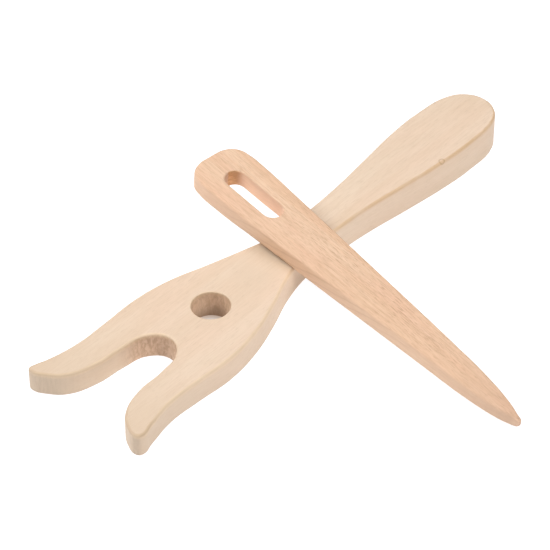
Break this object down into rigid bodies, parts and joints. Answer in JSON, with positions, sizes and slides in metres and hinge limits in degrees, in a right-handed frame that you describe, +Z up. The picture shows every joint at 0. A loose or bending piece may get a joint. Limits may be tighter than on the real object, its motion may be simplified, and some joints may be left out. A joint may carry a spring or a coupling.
{
  "type": "lucet with flat needle",
  "caption": "Wooden lucet, a two-pronged cord-making fork with a paddle handle and a round cord hole, with a flat slot-eyed wooden needle resting across its neck.",
  "frame": {"origin": "flat underside of the lucet, at the middle of its neck, straight below the place where the needle crosses it", "axes": "+Y along the lucet from the prongs to the handle, +Z up out of its flat underside, +X roughly along the needle towards its point"},
  "size_m": [0.1658, 0.2282, 0.0272],
  "materials": {
    "pale_maple": "fine-sanded pale maple with a dry oil finish, handle edges slightly burnished",
    "pink_beech": "fine-sanded pinkish beech with a dry oil finish and short dark pores"
  },
  "bodies": {
    "lucet": {"lucet_fork": "pale_maple"},
    "needle": {"flat_needle": "pink_beech"}
  },
  "joints": [
    {"name": "needle_lift", "type": "slide", "parent": "lucet", "child": "needle", "axis": [0, 0, 1], "range_m": [0, 0.06]}
  ]
}
